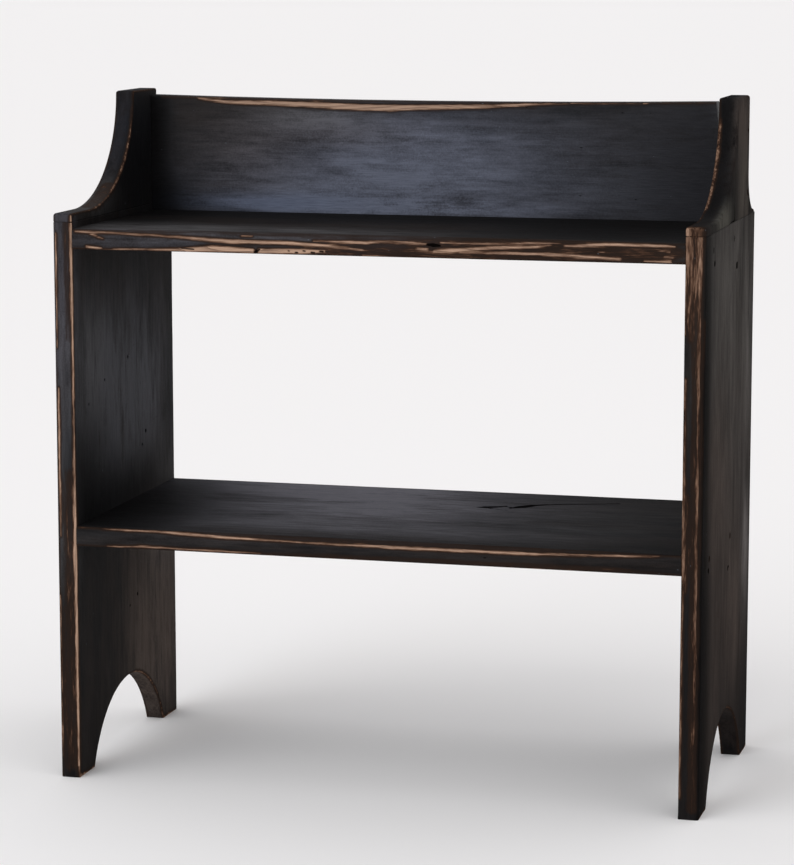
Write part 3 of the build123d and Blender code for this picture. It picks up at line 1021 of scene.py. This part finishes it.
# ---- operators
FINISHES = {
    "left_side": Finish((1.3, 0.4, 0.0), roughness=0.6, torn=0.75, sheen=0.012, mottle=1.5),
    "right_side": Finish((5.1, 2.2, 0.7), roughness=0.7, torn=0.7, sheen=0.002, mottle=1.0),
    "left_wing": Finish((1.3, 0.4, 0.0), roughness=0.6, torn=0.65, sheen=0.012, mottle=1.3),
    "right_wing": Finish((5.1, 2.2, 0.7), roughness=0.7, torn=0.65, sheen=0.002, mottle=1.5),
    "upper_shelf": Finish((3.7, 5.2, 1.6), roughness=0.6, torn=0.52, sheen=0.01, mottle=1.5),
    "lower_shelf": Finish((0.8, 9.1, 2.4), roughness=0.66, torn=0.6, sheen=0.006, mottle=1.1),
    "backboard": Finish((6.4, 3.3, 4.2), roughness=0.5, torn=0.65, sheen=0.05, mottle=1.1),
}


def dress(name, wear):
    """Replace the frame's board of this name by one with this wear and painted light, in its own finish.
    """
    board, scene = BOARDS[name], bpy.context.scene
    paint = painted_pine(f"{board.piece} paint", board.grain, FINISHES[name], scene.bench_paint)
    shaped_board(board, wear, scene.bench_boards, paint)


class BENCH_OT_sides(bpy.types.Operator):
    """Dress the two side boards"""
    bl_idname = "bench.sides"
    bl_label = "Side boards"

    def execute(self, context):
        dress("left_side", left_side_wear_and_painted_light())
        dress("right_side", right_side_wear_and_painted_light())
        return {"FINISHED"}


class BENCH_OT_wings(bpy.types.Operator):
    """Dress the two shaped wings"""
    bl_idname = "bench.wings"
    bl_label = "Wings"

    def execute(self, context):
        dress("left_wing", left_wing_wear_and_painted_light())
        dress("right_wing", right_wing_wear_and_painted_light())
        return {"FINISHED"}


class BENCH_OT_shelves(bpy.types.Operator):
    """Dress the two shelves"""
    bl_idname = "bench.shelves"
    bl_label = "Shelves"

    def execute(self, context):
        dress("upper_shelf", upper_shelf_wear_and_painted_light())
        dress("lower_shelf", lower_shelf_wear_and_painted_light())
        return {"FINISHED"}


class BENCH_OT_backboard(bpy.types.Operator):
    """Dress the backboard"""
    bl_idname = "bench.backboard"
    bl_label = "Backboard"

    def execute(self, context):
        dress("backboard", backboard_wear_and_painted_light())
        return {"FINISHED"}


class BENCH_OT_fastenings(bpy.types.Operator):
    """Finish the nails and the hidden dowels"""
    bl_idname = "bench.fastenings"
    bl_label = "Nails and dowels"

    def execute(self, context):
        paint = context.scene.bench_paint
        finishes = {"nails": iron(paint), "dowels": dowel_wood(paint)}
        for name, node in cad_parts.items():
            for word, material in finishes.items():
                if name.endswith(word):
                    node.data.materials.clear()
                    node.data.materials.append(material)
        return {"FINISHED"}


FLOOR_RINGS = (0.6, 2.0, 6.0, 20.0)
SENSOR_WIDTH = 36.0     # mm
CAMERA_SIGHT = 200.0    # the camera sees this far


def plain_floor(radius, colour):
    """Round floor with rings, so that its mesh stays even."""
    mesh = bmesh.new()
    rings = [*FLOOR_RINGS, radius]
    inner = bmesh.ops.create_circle(mesh, cap_ends=True, segments=64, radius=rings[0])["verts"]
    edges = [edge for edge in mesh.edges if all(vert in inner for vert in edge.verts)]
    for smaller, larger in zip(rings, rings[1:]):
        grown = bmesh.ops.extrude_edge_only(mesh, edges=edges)["geom"]
        edges = [part for part in grown if isinstance(part, bmesh.types.BMEdge)
                 and len(part.link_faces) == 1]
        for vert in {vert for edge in edges for vert in edge.verts}:
            vert.co *= larger / smaller
    bmesh.ops.recalc_face_normals(mesh, faces=mesh.faces)
    data = bpy.data.meshes.new("floor")
    mesh.to_mesh(data)
    mesh.free()
    material, tree = empty_material("plain floor")
    surface(tree, {"Base Color": colour, "Roughness": 0.9, "Specular IOR Level": 0.1})
    data.materials.append(material)
    return new_object("floor", data)


def lamp_towards(light, direction):
    """Lamp that shines in the given direction."""
    lamp = new_object(light.name, light)
    lamp.rotation_euler = Vector(direction).to_track_quat("-Z", "Y").to_euler()
    return lamp


def window_light(strength):
    """Very soft light from high at the front left."""
    light = bpy.data.lights.new("window light", "SUN")
    light.energy = strength
    light.angle = math.radians(55)
    light.color = (0.94, 0.97, 1.0)
    lamp_towards(light, (0.5, 0.95, -0.7))


def low_window(power):
    """Blue light from a low window at the front left, on the middle of the bench."""
    light = bpy.data.lights.new("low window", "AREA")
    light.shape = "RECTANGLE"
    light.size, light.size_y = 1.4, 1.3
    light.energy = power
    light.color = (0.72, 0.84, 1.0)
    place, aim = Vector((-1.3, -3.6, 0.9)), Vector((0.0, 0.1, 0.55))
    lamp_towards(light, aim - place).location = place


def room_light(low, high, seen):
    """Light from all round, brighter from above. Seen directly, it is as pale as the far floor."""
    world = bpy.data.worlds.new("pale room")
    world.use_nodes = True
    tree = world.node_tree
    height = axes(tree, add(tree, "ShaderNodeTexCoord").outputs["Generated"])[2]
    direct = add(tree, "ShaderNodeLightPath").outputs["Is Camera Ray"]
    strength = blend_values(tree, direct, ease(tree, height, 0.0, 0.75, low, high), seen)
    background = tree.nodes["Background"]
    background.inputs["Color"].default_value = (0.96, 0.97, 1.0, 1.0)
    tree.links.new(strength, background.inputs["Strength"])
    bpy.context.scene.world = world


def bench_camera(stage):
    """Camera at its place, turned to the left and tilted down."""
    data = bpy.data.cameras.new("camera")
    data.sensor_width = SENSOR_WIDTH
    data.lens = stage.lens
    data.clip_end = CAMERA_SIGHT
    turn = Matrix.Rotation(stage.camera_left, 4, "Z")
    tilt = Matrix.Rotation(math.pi / 2 - stage.camera_down, 4, "X")
    camera = new_object("camera", data)
    camera.matrix_world = Matrix.Translation(stage.camera_place) @ turn @ tilt
    return camera


class BENCH_OT_stage(bpy.types.Operator):
    """Make the floor, the soft lights and the camera"""
    bl_idname = "bench.stage"
    bl_label = "Stage"

    def execute(self, context):
        stage = context.scene.bench_stage
        plain_floor(stage.floor_radius, stage.floor_colour)
        room_light(stage.sky_low, stage.sky_high, stage.sky_seen)
        window_light(stage.sun)
        low_window(stage.low_window)
        context.scene.camera = bench_camera(stage)
        context.scene.view_settings.view_transform = "Standard"
        return {"FINISHED"}


class BENCH_PT_panel(bpy.types.Panel):
    """Settings and steps of the bucket bench"""
    bl_label = "Bucket bench"
    bl_idname = "BENCH_PT_panel"
    bl_space_type = "VIEW_3D"
    bl_region_type = "UI"
    bl_category = "Bench"

    def draw(self, context):
        for group in (context.scene.bench_paint, context.scene.bench_boards, context.scene.bench_stage):
            column = self.layout.column(align=True)
            for name in group.__annotations__:
                column.prop(group, name)
        for step in STEPS:
            self.layout.operator(step.bl_idname)


SETTINGS = {"bench_paint": BenchPaint, "bench_boards": BenchBoards, "bench_stage": BenchStage}
STEPS = (BENCH_OT_sides, BENCH_OT_wings, BENCH_OT_shelves, BENCH_OT_backboard, BENCH_OT_fastenings,
         BENCH_OT_stage)


def register():
    for kind in (*SETTINGS.values(), *STEPS, BENCH_PT_panel):
        bpy.utils.register_class(kind)
    for name, kind in SETTINGS.items():
        setattr(bpy.types.Scene, name, PointerProperty(type=kind))


def unregister():
    for name in SETTINGS:
        delattr(bpy.types.Scene, name)
    for kind in reversed((*SETTINGS.values(), *STEPS, BENCH_PT_panel)):
        bpy.utils.unregister_class(kind)


def main():
    register()
    bpy.ops.bench.sides()
    bpy.ops.bench.wings()
    bpy.ops.bench.shelves()
    bpy.ops.bench.backboard()
    bpy.ops.bench.fastenings()
    bpy.ops.bench.stage()


if __name__ == "__main__":
    main()
